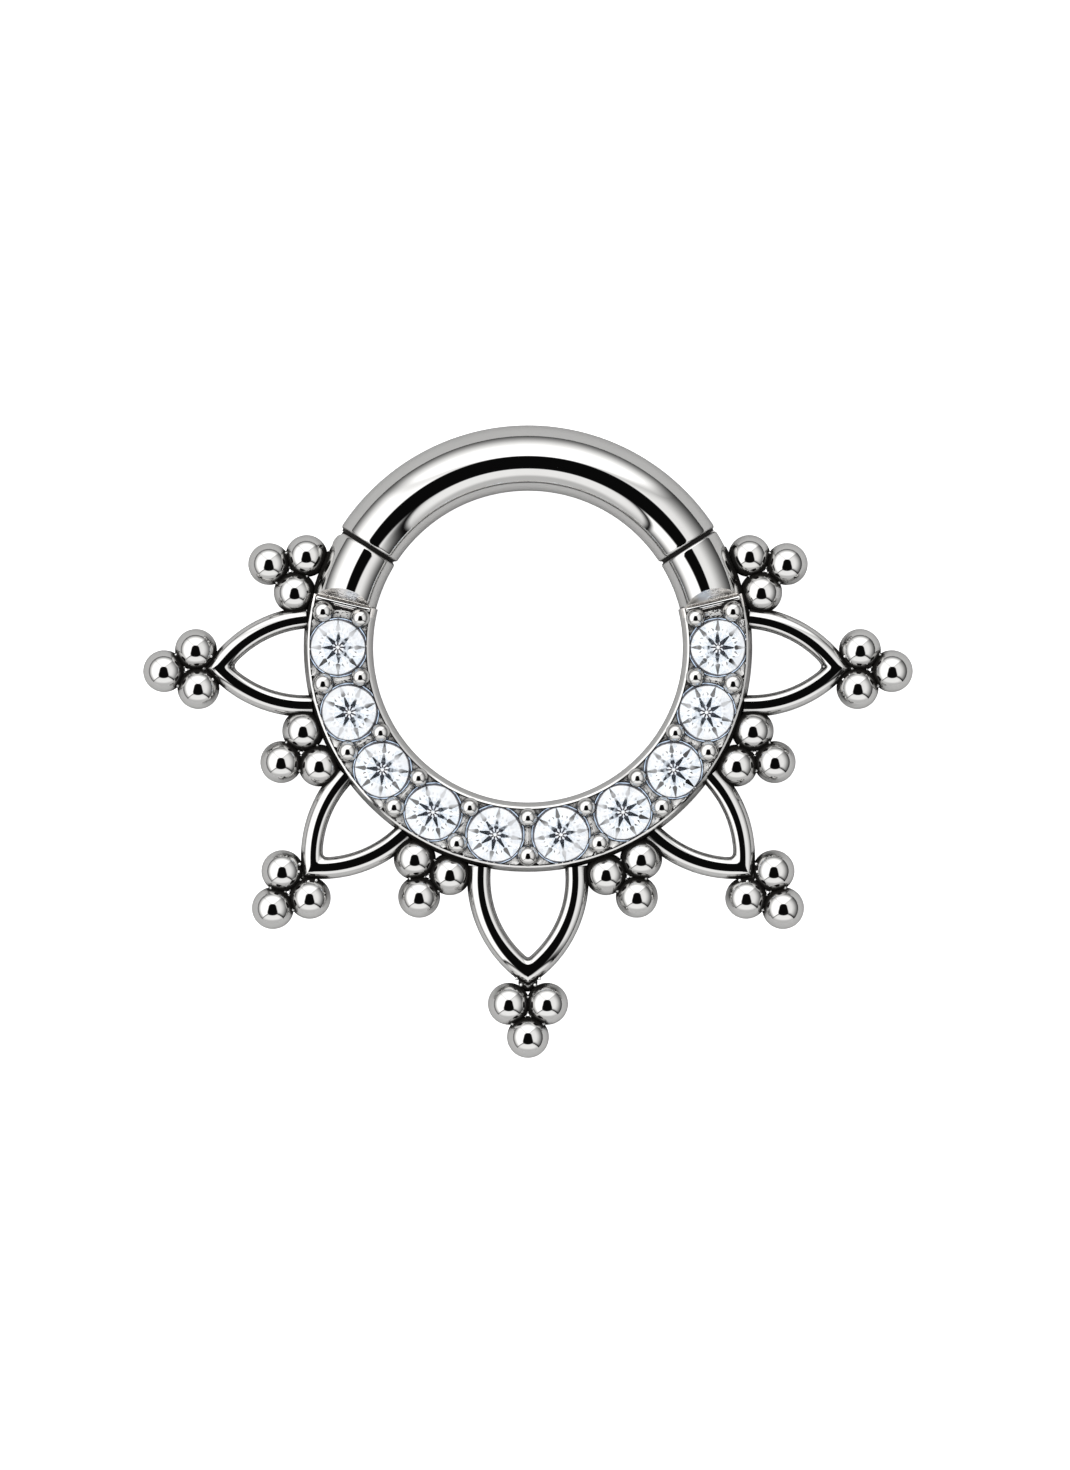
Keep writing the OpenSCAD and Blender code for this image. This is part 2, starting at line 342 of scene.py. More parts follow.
def block(name, angle, r, out, along, z):
    """A block at an angle and radius of the hoop, from and to distances out, along and up."""
    middle = [sum(pair) / 2 for pair in (out, along, z)]
    size = [pair[1] - pair[0] for pair in (out, along, z)]
    piece = primitive("cube", name, size=1)
    with editing(piece):
        bpy.ops.transform.resize(value=size)
    piece.location = place(angle, r + middle[0], middle[2], middle[1])
    piece.rotation_euler.z = angle - math.pi / 2
    settle(piece)
    return piece


def break_edges(piece, width, segments=2):
    """Breaks the sharp edges of a piece."""
    use_modifier(piece, "BEVEL", width=width, segments=segments, limit_method="ANGLE",
                 angle_limit=math.radians(50), use_clamp_overlap=True)


def joined(pieces, name):
    """Joins pieces into one."""
    deselect()
    for piece in pieces:
        piece.select_set(True)
    bpy.context.view_layer.objects.active = pieces[0]
    bpy.ops.object.join()
    pieces[0].name = name
    return pieces[0]


def copy_of(piece, name, turn=0.0, mirrored=False):
    """A copy with its own mesh, turned about the hoop's axis."""
    deselect()
    copy = piece.copy()
    copy.data = piece.data.copy()
    copy.name = name
    bpy.context.scene.collection.objects.link(copy)
    copy.matrix_world = Matrix.Rotation(turn, 4, "Z") @ copy.matrix_world
    if mirrored:
        copy.matrix_world = Matrix.Diagonal((-1, 1, 1, 1)) @ copy.matrix_world
    settle(copy)
    if mirrored:
        with editing(copy):
            bpy.ops.mesh.flip_normals()
    return copy


def mirror_image(piece):
    """A piece's mirror image across the hoop, in its place."""
    mirrored = copy_of(piece, piece.name, mirrored=True)
    bpy.data.objects.remove(piece)
    return mirrored


def settle(piece):
    """Applies a piece's place, turn and scale to its mesh."""
    pick(piece)
    bpy.ops.object.transform_apply(location=True, rotation=True, scale=True)


def close_up(piece):
    """Merges doubles and turns every face outwards."""
    with editing(piece):
        bpy.ops.mesh.remove_doubles(threshold=1e-4)
        bpy.ops.mesh.normals_make_consistent(inside=False)
    return piece


def slice_off(piece, point, normal):
    """Cuts off what lies beyond a plane, and closes the cut."""
    with editing(piece):
        bpy.ops.mesh.bisect(plane_co=point, plane_no=normal, use_fill=True, clear_outer=True,
                            threshold=1e-5)
    close_up(piece)


def give_finish(piece, finish, zones=()):
    """Gives a piece its finish, and other finishes to zones of it.

    Each zone is a finish's name and a test of a face's middle and normal, in millimetres.
    """
    piece.data.materials.clear()
    for name in (finish, *(name for name, _ in zones)):
        piece.data.materials.append(bpy.data.materials[name])
    for number, (_, zone) in enumerate(zones, start=1):
        with editing(piece, "FACE"):
            select(piece, faces=zone)
            piece.active_material_index = number
            bpy.ops.object.material_slot_assign()


def hand_over(piece, body="hoop", smooth=32):
    """Brings a finished piece to metres and lets it ride on its body."""
    piece.scale = (MM, MM, MM)
    settle(piece)
    bpy.ops.object.shade_smooth_by_angle(angle=math.radians(smooth))
    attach(piece, body)


def bent_tube(name, s, start, end, radius, steps):
    """A closed round tube that follows the hoop's middle line."""
    tube = primitive("circle", name, vertices=64, radius=radius, fill_type="NGON",
                     location=place(start, s.ring_r, s.mid_z),
                     rotation=(math.pi / 2, 0, start - math.pi / 2))
    settle(tube)
    with editing(tube):
        bpy.ops.mesh.spin(steps=steps, angle=start - end, center=(0, 0, 0), axis=(0, 0, 1))
    return close_up(tube)


def round_end(tube, s, angle):
    """Rounds the rim of a tube's end."""
    with editing(tube, "EDGE"):
        select(tube, edges=lambda p: abs(angle_of(p) - angle) < 1e-3)
        bpy.ops.mesh.bevel(offset=s.edge_round, segments=5, affect="EDGES",
                           clamp_overlap=False)


def solder_on(piece, spot, radius, segments=16, rings=10):
    """Adds a ball of solder to a piece."""
    ball = primitive("uv_sphere", "solder", segments=segments, ring_count=rings, radius=radius,
                     location=spot)
    settle(ball)
    combine(piece, ball, "UNION")


def near(spots, reach):
    """The zone of the faces that lie within reach of some spots."""
    return lambda p, n: min((p - spot).length for spot in spots) < reach


def both_sides(angle):
    """The names and signs of the sides on which a piece lies, which is one at the bottom."""
    return [("right", 1), ("left", -1)] if angle else [("right", 1)]


# Shader maths

class Wire:
    """A socket of a node tree on which sums can be written."""

    def __init__(self, shader, socket):
        self.shader = shader
        self.socket = socket

    def _math(self, operation, first, second):
        return self.shader.node("Math", {"operation": operation}, {0: first, 1: second})

    def __add__(self, other):
        return self._math("ADD", self, other)

    __radd__ = __add__

    def __sub__(self, other):
        return self._math("SUBTRACT", self, other)

    def __rsub__(self, other):
        return self._math("SUBTRACT", other, self)

    def __mul__(self, other):
        return self._math("MULTIPLY", self, other)

    __rmul__ = __mul__

    def __truediv__(self, other):
        return self._math("DIVIDE", self, other)

    def __rtruediv__(self, other):
        return self._math("DIVIDE", other, self)

    def __neg__(self):
        return self * -1

    def __abs__(self):
        return self._math("ABSOLUTE", self, 0)

    def over(self, start, end, low=0.0, high=1.0):
        """Goes smoothly from low to high as the value goes from start to end."""
        return self.shader.node("MapRange", {"interpolation_type": "SMOOTHSTEP"}, {
            "Value": self, "From Min": start, "From Max": end, "To Min": low, "To Max": high})


class Shader:
    """Builds one node tree."""

    def __init__(self, tree):
        self.tree = tree
        tree.nodes.clear()

    def node(self, kind, settings=None, sockets=None, output=0):
        """Adds a node: its settings first, then its sockets' values or links."""
        made = self.tree.nodes.new("ShaderNode" + kind)
        for key, value in (settings or {}).items():
            setattr(made, key, value)
        for key, value in (sockets or {}).items():
            if isinstance(value, Wire):
                self.tree.links.new(value.socket, made.inputs[key])
            else:
                made.inputs[key].default_value = value
        return Wire(self, made.outputs[output]) if made.outputs else None

    def largest(self, first, second):
        return self.node("Math", {"operation": "MAXIMUM"}, {0: first, 1: second})

    def root(self, value):
        return self.node("Math", {"operation": "SQRT"}, {0: value})

    def angle(self, across, along):
        return self.node("Math", {"operation": "ARCTAN2"}, {0: across, 1: along})

    def after_point(self, value):
        return self.node("Math", {"operation": "FRACT"}, {0: value})

    def noise(self, spot, scale, detail, **more):
        """Noise round a spot, at a scale to the metre."""
        return self.node("TexNoise", {"noise_dimensions": "3D"}, {
            "Vector": spot, "Scale": scale, "Detail": detail, **more})

    def parts(self, vector):
        """The three parts of a vector."""
        split = self.node("SeparateXYZ", None, {0: vector}).socket.node
        return [Wire(self, socket) for socket in split.outputs]

    def blend(self, share, first, second):
        """A colour between two colours."""
        return self.node("Mix", {"data_type": "RGBA"}, {0: share, 6: first, 7: second}, output=2)

    def surface(self, shader):
        """Ends the tree in a shader."""
        in_world = isinstance(self.tree.id_data, bpy.types.World)
        self.node("OutputWorld" if in_world else "OutputMaterial", None, {"Surface": shader})


def new_material(name):
    material = bpy.data.materials.new(name)
    material.use_nodes = True
    return material, Shader(material.node_tree)


def colour(values):
    return (*values, 1.0)


def steel(name, shade_range=(0.58, 0.9), polish=1.0, cuts=0.0, glint=None, painted_glow=0.0, drawn=False):
    """Polished steel: faint polishing marks and haze, and painted shade, dark and rough, deep
    between pieces.

    The shade range is the share of open sky where the painted shade is full and where the steel
    is clean, cuts is how deep a graver's marks are, glint is another colour of the steel, and the
    painted glow is an emission painted on a seat's floor, which shines up through its stone though
    the floor is no lamp. A tube drawn and bent to a hoop isn't quite round, so that what it mirrors
    is pulled in towards the hoop's middle.
    """
    finish = bpy.context.scene.hoop_finish
    material, shader = new_material(name)
    spot = shader.node("TexCoord", output=3)
    haze = shader.noise(spot, 900.0, 3.0, Roughness=0.6)
    # Where ambient occlusion finds little open sky, between and under pieces, the steel gets
    # painted shade
    sky = shader.node("AmbientOcclusion", {"samples": 8}, {"Distance": 0.4 * MM}, output=1)
    marks = shader.noise(spot, 2600.0, 2.0)
    height = marks * 0.0002
    if cuts:
        chips = shader.noise(spot, 5200.0, 1.0, Distortion=1.5)
        height = height + chips * cuts
    bump = shader.node("Bump", None, {"Strength": 1.0, "Distance": 1 * MM, "Height": height})
    if drawn:
        bump = drawn_normal(shader, spot, bump)
    tone = shader.blend(haze.over(0.3, 0.7), colour(glint or finish.steel),
                        colour([0.97 * part for part in glint or finish.steel]))
    # An emission of pale blue, the painted glow, lit only on the seats' floors, though they are no
    # lamp
    clean = shader.node("BsdfPrincipled", None, {
        "Base Color": tone, "Metallic": 1.0, "Specular Tint": (0.75, 0.75, 0.75, 1),
        "Emission Color": (0.62, 0.74, 0.9, 1), "Emission Strength": painted_glow,
        "Roughness": haze.over(0.35, 0.75, finish.polish * polish * 0.7,
                               finish.polish * polish * 1.6),
        "Normal": bump})
    # Painted shade: a near-black, rough coat that stands in for the shade deep between pieces
    painted_shade = shader.node("BsdfPrincipled", None, {
        "Base Color": colour(finish.crevice_shade), "Roughness": 0.55, "Specular IOR Level": 0.12})
    shader.surface(shader.node("MixShader", None, {0: sky.over(*shade_range), 1: painted_shade, 2: clean}))
    return material


def drawn_normal(shader, spot, normal):
    """The normal of a tube whose section is a little flat, more so towards the hoop's middle."""
    s = sizes()
    out = shader.node("VectorMath", {"operation": "MULTIPLY"}, {0: spot, 1: (1, 1, 0)})
    from_axis = shader.node("VectorMath", {"operation": "LENGTH"}, {0: out}, output=1)
    across = (from_axis / MM - s.ring_r) / s.bar_r
    flat = shader.largest(1 - across * across, 0.0)
    lean = (0.15 + across * 0.45) * flat * flat * flat
    out = shader.node("VectorMath", {"operation": "NORMALIZE"}, {0: out})
    out = shader.node("VectorTransform", {"convert_from": "OBJECT", "convert_to": "WORLD"}, {
        0: out})
    out = shader.node("VectorMath", {"operation": "SCALE"}, {0: out, "Scale": lean})
    leaning = shader.node("VectorMath", {"operation": "ADD"}, {0: normal, 1: out})
    return shader.node("VectorMath", {"operation": "NORMALIZE"}, {0: leaning})


def clear_stone():
    """Clear white stone with a high refraction and slightly uneven facets, and painted light on its
    outside: a pale painted highlight on the crown, painted dark spokes round the table's middle
    and a painted dark outline at the girdle.
    """
    finish = bpy.context.scene.hoop_finish
    material, shader = new_material("white_stone")
    spot = shader.node("TexCoord", output=3)
    veil = shader.noise(spot, 1500.0, 2.0)
    s = sizes()
    x, y, z = shader.parts(spot)
    along = shader.after_point(shader.angle(x, -y) / s.stone_pitch + 5) - 0.5
    along = along * (s.stone_pitch * s.ring_r * MM)
    across = shader.root(x * x + y * y) - s.ring_r * MM
    from_middle = shader.root(along * along + across * across)
    tint = shader.blend(veil.over(0.3, 0.7), colour(finish.stone), (1, 1, 1, 1))
    waves = shader.noise(spot, 3000.0, 1.0)
    bump = shader.node("Bump", None, {
        "Strength": 1.0, "Distance": 1 * MM, "Height": waves * 0.002})
    stone = shader.node("BsdfPrincipled", None, {
        "Base Color": tint, "Transmission Weight": 1.0, "IOR": 2.15, "Roughness": 0.0,
        "Normal": bump})
    # Where the painted dark outline lies, at the girdle
    rim = from_middle.over(0.67 * MM, 0.705 * MM)
    # The painted glow's colour: dark at the girdle and in the middle, where the painted spokes are,
    # pale on the crown between
    glow = shader.blend(rim + from_middle.over(0.24 * MM, 0.26 * MM, 1.0, 0.0),
                        (0.96, 0.98, 1, 1), (0.015, 0.015, 0.02, 1))
    # Painted highlight: a dark surface that glows with the painted colour, laid over the stone's
    # own refraction
    painted_sheen = shader.node("BsdfPrincipled", None, {
        "Base Color": (0.04, 0.04, 0.05, 1), "Roughness": 0.3,
        "Emission Color": glow, "Emission Strength": 0.86})
    # A pale painted highlight on the crown, patchy with the veil, standing in for a softbox's
    # reflection
    crown = from_middle.over(0.3 * MM, 0.4 * MM) * veil.over(0.42, 0.6, 0.0, 0.66)
    # Painted dark spokes of the star, eight thin wedges round the table's middle, standing in for
    # the dark reflection
    turns = shader.angle(across, along) * (4 / math.pi)
    beside = abs(shader.after_point(turns + 0.5) - 0.5) * from_middle * (math.pi / 4)
    painted_spokes = beside.over(0.015 * MM, 0.026 * MM, 1.0, 0.0) * from_middle.over(
        0.03 * MM, 0.06 * MM) * from_middle.over(0.17 * MM, 0.22 * MM, 1.0, 0.0)
    inside = shader.node("NewGeometry", output=6)
    front = z.over((s.girdle_low_z - 0.02) * MM, (s.girdle_low_z - 0.01) * MM) * (1 - inside)
    # Only the outside of the crown, above the girdle, is painted
    share = shader.largest(shader.largest(crown, painted_spokes), rim * 0.95) * front
    shader.surface(shader.node("MixShader", None, {0: share, 1: stone, 2: painted_sheen}))
    return material


# The pieces

class PieceOperator(bpy.types.Operator):
    """Base of the operators: each makes its pieces once."""

    bl_options = {"REGISTER", "UNDO"}


def tongue(name, s, r, nose_r, nose_along):
    """A flat tongue with a round nose that reaches from the bar's right end into the sleeve."""
    neck_r, reach, edge_round = nose_r - 0.08, 0.3, 0.025
    low, high = s.mid_z - s.tongue_height / 2, s.mid_z + s.tongue_height / 2
    nose = round_bar(name, place(s.seam_angle, r, 0, nose_along), nose_r, low, high)
    neck = block("neck", s.seam_angle, r, (-neck_r, neck_r), (nose_along, reach), (low, high))
    for part in (nose, neck):
        break_edges(part, edge_round)
    return combine(nose, neck, "UNION")


def round_collar(s, side):
    """A thin round step on an end of the bar, which closes the seam to the light."""
    angle, length, middle = side * s.seam_angle, 0.4, 0.18
    collar = primitive("cylinder", "collar", vertices=64, radius=s.bar_r - COLLAR_STEP,
                       depth=length, location=place(angle, s.ring_r, s.mid_z, side * middle),
                       rotation=(math.pi / 2, 0, angle - math.pi / 2))
    settle(collar)
    return collar


def faces_a_seam(point, normal):
    """Whether a face looks along the hoop."""
    return abs(normal.dot(place(angle_of(point), 0, 0, 1))) > 0.35


class HOOP_OT_bar(PieceOperator):
    """Models the round bar that opens, with its knuckle and clasp tongue"""

    bl_idname = "hoop.bar"
    bl_label = "Clicker bar"

    def execute(self, context):
        s = sizes()
        start, end = s.seam_angle + s.half_gap, 2 * math.pi - s.seam_angle - s.half_gap
        bar = bent_tube("clicker_bar_polished", s, start, end, s.bar_r, 72)
        for angle in (start, end - 2 * math.pi):
            round_end(bar, s, angle)
        knuckle = tongue("knuckle", s, s.ring_r + s.pin_shift, s.knuckle / 2, -s.pin_inset)
        bore = round_bar("bore", place(s.seam_angle, s.ring_r + s.pin_shift, 0, -s.pin_inset),
                         s.pin / 2 + BORE_PLAY, s.mid_z - 1, s.mid_z + 1)
        combine(knuckle, bore)
        nose_r = s.tongue / 2
        clasp = tongue("clasp", s, s.ring_r, nose_r, nose_r - s.tongue_length)
        for side, part in ((-1, mirror_image(knuckle)), (1, clasp)):
            combine(bar, combine(part, round_collar(s, side), "UNION"), "UNION")
        close_up(bar)
        # The collar's faces in the seam's gap are painted shadow, black whatever the light, and the
        # faces that look along the hoop get a stronger painted shade
        give_finish(bar, "tube_steel", [
            ("seam_shade_steel", faces_a_seam),
            ("painted_shadow_steel", lambda p, n: abs(angle_of(p)) < s.seam_angle + s.half_gap and abs(
                math.hypot(math.hypot(p.x, p.y) - s.ring_r, p.z - s.mid_z)
                - s.bar_r + COLLAR_STEP) < 0.02)])
        hand_over(bar, body="bar")
        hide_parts("clicker_bar")
        return {"FINISHED"}


def hinge_cuts(s):
    """What the left sleeve is cut for, drawn at the right: knuckle slot, pin hole, round cheeks."""
    r = s.ring_r + s.pin_shift
    pin = place(s.seam_angle, r, 0, -s.pin_inset)
    half_slot = s.tongue_height / 2 + s.play
    low, high = s.mid_z - half_slot, s.mid_z + half_slot
    turn_r = s.knuckle / 2 + s.play
    hole_r, hole_top = s.pin / 2 + 0.01, s.mid_z + 0.42
    # Each cut reaches out of the sleeve, which is under 2 mm high, and 0.1 mm past the seam
    cuts = [
        round_bar("turn", pin, turn_r, low, high),
        block("way_out", s.seam_angle, r, (0, 3), (-s.pin_inset - turn_r, 0.1), (low, high)),
        block("way_on", s.seam_angle, r, (-turn_r, 0.1), (-s.pin_inset, 0.1), (low, high)),
        round_bar("pin_hole", pin, hole_r, -1, hole_top),
    ]
    corner = block("corner", s.seam_angle, r, (0, 3), (-s.pin_inset, 0.1), (-1, 3))
    cheek = round_bar("cheek", pin, s.pin_inset - s.seam_gap / 2, -2, 4)
    return [*cuts, combine(corner, cheek)]


def clasp_cut(s):
    """The slot in the right sleeve that the tongue clicks into."""
    half_slot = s.tongue_height / 2 + s.play
    return block("clasp_slot", s.seam_angle, s.ring_r, (-s.tongue / 2 - s.play, 3),
                 (-s.tongue_length - s.play, 0.1), (s.mid_z - half_slot, s.mid_z + half_slot))


class HOOP_OT_sleeves(PieceOperator):
    """Models the plain sleeve at each end of the band, one with the hinge, one with the clasp"""

    bl_idname = "hoop.sleeves"
    bl_label = "Sleeves"

    def execute(self, context):
        s = sizes()
        end = s.seam_angle - s.half_gap
        right = bent_tube("sleeve_right", s, s.lap_angle, end, s.bar_r, 10)
        round_end(right, s, end)
        rise = s.mid_z + s.bar_r - s.flat_z
        forward = place(s.band_angle, 0, 0, 1)
        slope = (forward * -rise + Vector((0, 0, s.shoulder))).normalized()
        foot = place(s.band_angle, s.ring_r, s.flat_z)
        slice_off(right, foot, slope)
        hinged = copy_of(right, "hinged")
        for cut in hinge_cuts(s):
            combine(hinged, cut)
        combine(right, clasp_cut(s))
        left = mirror_image(hinged)
        left.name = "sleeve_left"
        for piece in (right, left):
            # Faces that look along the hoop, at the seam, get a stronger painted shade
            give_finish(piece, "tube_steel", [
                ("seam_shade_steel", faces_a_seam),
                ("filed_steel", lambda p, n: abs(
                    (Vector((abs(p.x), p.y, p.z)) - foot).dot(slope)) < 0.003)])
            hand_over(piece)
        return {"FINISHED"}


class HOOP_OT_setting(PieceOperator):
    """Models the band with its rails, the bright cuts and the stones' seats"""

    bl_idname = "hoop.setting"
    bl_label = "Setting"

    def execute(self, context):
        s = sizes()
        band = bent_tube("setting_band", s, -s.band_angle, s.band_angle, s.band_r, 120)
        slice_off(band, (0, 0, s.flat_z), (0, 0, 1))
        with editing(band, "EDGE"):
            select(band, edges=lambda p: abs(p.z - s.flat_z) < 1e-4)
            bpy.ops.mesh.bevel(offset=s.rail_bevel, segments=1, affect="EDGES")
        close_up(combine(band, joined([seat(s, number) for number in range(10)], "seats")))
        close_up(combine(band, bright_cuts(s)))
        for side in (-1, 1):
            close_up(combine(band, end_rim(s, side * s.lap_angle), "UNION"))
        cut_end, cut_half_w = s.band_angle - 0.03, s.flat_half_w - s.rail
        filed_from = s.band_angle - 0.3 / s.ring_r
        give_finish(band, "mirror_steel", [
            ("prong_steel", lambda p, n: n.z > 0.7 and p.z > s.girdle_low_z),
            ("filed_steel", lambda p, n: n.z > 0.1 and p.z > s.girdle_low_z and abs(
                angle_of(p)) > filed_from),
            ("bright_cut_steel", lambda p, n: n.z > 0.1 and p.z > s.girdle_low_z - 0.1 and abs(
                angle_of(p)) < cut_end and abs(math.hypot(p.x, p.y) - s.ring_r) < cut_half_w),
            ("solder_steel", lambda p, n: n.z > -0.2 and p.z > s.flat_z + 0.002),
            # The seats' floors, under the stones, glow with painted light
            ("seat_glow_steel", lambda p, n: p.z < s.girdle_low_z - 0.03 and n.z > 0.2 and min(
                (p - place(stone_angle(s, number), s.ring_r, p.z)).length
                for number in range(10)) < s.seat_r)])
        hand_over(band, smooth=18)
        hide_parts("hoop_body")
        return {"FINISHED"}


def end_rim(s, angle):
    """A thin round rim across an end of the band, at the shoulder's foot."""
    rim_r, edge_round = 0.065, 0.045
    rim = primitive("cylinder", "rim", vertices=24, radius=rim_r, depth=2 * s.flat_half_w - 0.1,
                    location=place(angle, s.ring_r, s.flat_z - 0.01),
                    rotation=(math.pi / 2, 0, angle))
    settle(rim)
    break_edges(rim, edge_round, segments=3)
    return rim


def stone_angle(s, number):
    return (number - 4.5) * s.stone_pitch


def seat(s, number):
    """The seat of a stone, which follows its pavilion, girdle and crown."""
    drill_r, drill_depth, pavilion_depth, crown_height, play = 0.18, 0.14, 0.523, 0.44, 0.01
    piece = primitive("cone", "seat", vertices=64, radius1=drill_r, radius2=s.seat_r,
                      depth=pavilion_depth,
                      location=place(0, s.ring_r, s.girdle_low_z - play - pavilion_depth / 2))
    settle(piece)
    with editing(piece, "FACE"):
        select(piece, faces=lambda p, n: n.z < -0.9)
        bpy.ops.mesh.extrude_region_move(TRANSFORM_OT_translate={"value": (0, 0, -drill_depth)})
        bpy.ops.transform.resize(value=(0.05, 0.05, 1))
        select(piece, faces=lambda p, n: n.z > 0.9)
        bpy.ops.mesh.extrude_region_move(
            TRANSFORM_OT_translate={"value": (0, 0, s.girdle + 2 * play)})
        bpy.ops.mesh.extrude_region_move(TRANSFORM_OT_translate={"value": (0, 0, crown_height)})
        bpy.ops.transform.resize(value=(0.15, 0.15, 1))
    return turned(piece, stone_angle(s, number))


def turned(piece, angle):
    """Turns a piece about the hoop's axis."""
    piece.rotation_euler.z = angle
    settle(piece)
    return piece


def bright_cuts(s):
    """Shallow cones that slope the metal down to the stones, and the ramps, inside the rails."""
    cuts = joined([shallow_cone(s, number) for number in range(0, 10, 2)], "cuts")
    close_up(combine(cuts, joined([shallow_cone(s, number) for number in range(1, 10, 2)],
                                  "more_cuts"), "UNION"))
    close_up(combine(cuts, end_ramps(s), "UNION"))
    return close_up(combine(cuts, inside_rails(s), "INTERSECT"))


def shallow_cone(s, number):
    """The cone that slopes the metal down to a stone. It starts a little inside the seat."""
    below, above = 0.03, s.flat_z + 0.1 - s.girdle_low_z
    cone = primitive("cone", "cut", vertices=64, depth=below + above,
                     radius1=s.seat_r - below / math.tan(s.cut_slope),
                     radius2=s.seat_r + above / math.tan(s.cut_slope),
                     location=place(0, s.ring_r, s.girdle_low_z + (above - below) / 2))
    settle(cone)
    return turned(cone, stone_angle(s, number))


def end_ramps(s):
    """A slope at each end of the band, from the rim down to the last stone."""
    ramps, length, drop = [], 0.24, 0.11
    for side in (-1, 1):
        ramp = block("ramp", 0, 0, (s.ring_r - 1, s.ring_r + 1), (-0.01, length), (0, 0.3))
        with editing(ramp):
            select(ramp, verts=lambda p: p.z < 0.1 and p.x > 0.1)
            bpy.ops.transform.translate(value=(0, 0, -drop))
        ramp.location.z = s.flat_z
        settle(ramp)
        if side > 0:
            ramp = mirror_image(ramp)
        ramps.append(turned(ramp, side * s.band_angle))
    return joined(ramps, "ramps")


def inside_rails(s):
    """The room between the rails, from below the cuts to above the band."""
    end = s.band_angle - s.end_rail / s.ring_r
    low_r, high_r = s.ring_r - s.flat_half_w + s.rail, s.ring_r + s.flat_half_w - s.rail
    room = block("inside_rails", -end, 0, (low_r, high_r), (0, 0.01), (1.0, 2.0))
    with editing(room, "FACE"):
        select(room, faces=lambda p, n: n.dot(place(-end, 0, 0, 1)) < -0.9)
        bpy.ops.mesh.select_all(action="INVERT")
        bpy.ops.mesh.delete(type="FACE")
        bpy.ops.mesh.select_all(action="SELECT")
        bpy.ops.mesh.spin(steps=120, angle=-2 * end, center=(0, 0, 0), axis=(0, 0, 1))
    return close_up(room)


class HOOP_OT_prongs(PieceOperator):
    """Models the bead prongs between the stones"""

    bl_idname = "hoop.prongs"
    bl_label = "Prongs"

    def pair(self, s, seats):
        """The outer and the inner prong at the hoop's bottom, notched for the stones beside."""
        prongs = []
        outer_r, inner_r = s.ring_r + 0.47, s.ring_r - 0.51
        for diameter, r in ((s.outer_prong, outer_r), (s.inner_prong, inner_r)):
            prong = primitive("uv_sphere", "prong", segments=48, ring_count=24,
                              radius=diameter / 2, location=place(0, r, s.flat_z - 0.01))
            with editing(prong):
                bpy.ops.mesh.bisect(plane_co=place(0, r, s.girdle_low_z - 0.05),
                                    plane_no=(0, 0, -1), use_fill=True, clear_outer=True)
            settle(prong)
            prongs.append(prong)
        pair = joined(prongs, "pair")
        for number in seats:
            combine(pair, seat(s, number))
        return pair

    def execute(self, context):
        s = sizes()
        # The stones beside a pair at the bottom, and the stone pitches by which copies are turned
        for seats, numbers in (((4, 5), range(-4, 5)), ((4,), (5,)), ((5,), (-5,))):
            pair = self.pair(s, seats)
            give_finish(pair, "prong_steel")
            for number in numbers:
                copy = copy_of(pair, f"prong_pair_{number + 6:02d}", turn=number * s.stone_pitch)
                hand_over(copy, smooth=50)
            bpy.data.objects.remove(pair)
        return {"FINISHED"}


def trio_of_beads(s):
    """Three beads soldered to each other, pointing out along +X from their lower pair."""
    spots = [Vector((0, -s.bead_step / 2, s.mid_z)), Vector((0, s.bead_step / 2, s.mid_z)),
             Vector((s.trio_rise, 0, s.mid_z))]
    trio = None
    for spot in spots:
        bead = primitive("uv_sphere", "bead", segments=64, ring_count=32, radius=s.bead_r,
                         location=spot)
        settle(bead)
        trio = combine(trio, bead, "UNION") if trio else bead
    # Two grains of solder in the crease round each contact: their turn from the front and radius
    crease_r, turns = 0.235, ((-62, 0.04), (48, 0.035))
    grains = []
    for first, second in ((0, 1), (1, 2), (2, 0)):
        way = (spots[second] - spots[first]).normalized()
        across = Vector((0, 0, 1)).cross(way)
        for turn, radius in turns:
            turn = math.radians(turn)
            grains.append((spots[first] + spots[second]) / 2 + (
                across * math.sin(turn) + Vector((0, 0, math.cos(turn)))) * crease_r)
            solder_on(trio, grains[-1], radius)
    give_finish(trio, "mirror_steel", [("solder_steel", near(grains, 0.042))])
    return trio


class HOOP_OT_beads(PieceOperator):
    """Models the trios of beads on the band and at the petals' tips"""

    bl_idname = "hoop.beads"
    bl_label = "Bead trios"

    def execute(self, context):
        s = sizes()
        trio = trio_of_beads(s)
        spots = [(f"band_trio_{n + 1}", angle, s.bead_r - s.bead_sink)
                 for n, angle in enumerate(BAND_TRIOS)]
        spots += [(f"tip_trio_{petal.name}", math.radians(petal.angle), petal.beads)
                  for petal in PETALS]
        for name, angle, height in spots:
            for side, sign in both_sides(angle):
                trio.location.x = s.band_edge_r + height
                piece = copy_of(trio, f"{name}_{side}", turn=sign * angle - math.pi / 2)
                hand_over(piece, smooth=50)
        bpy.data.objects.remove(trio)
        return {"FINISHED"}


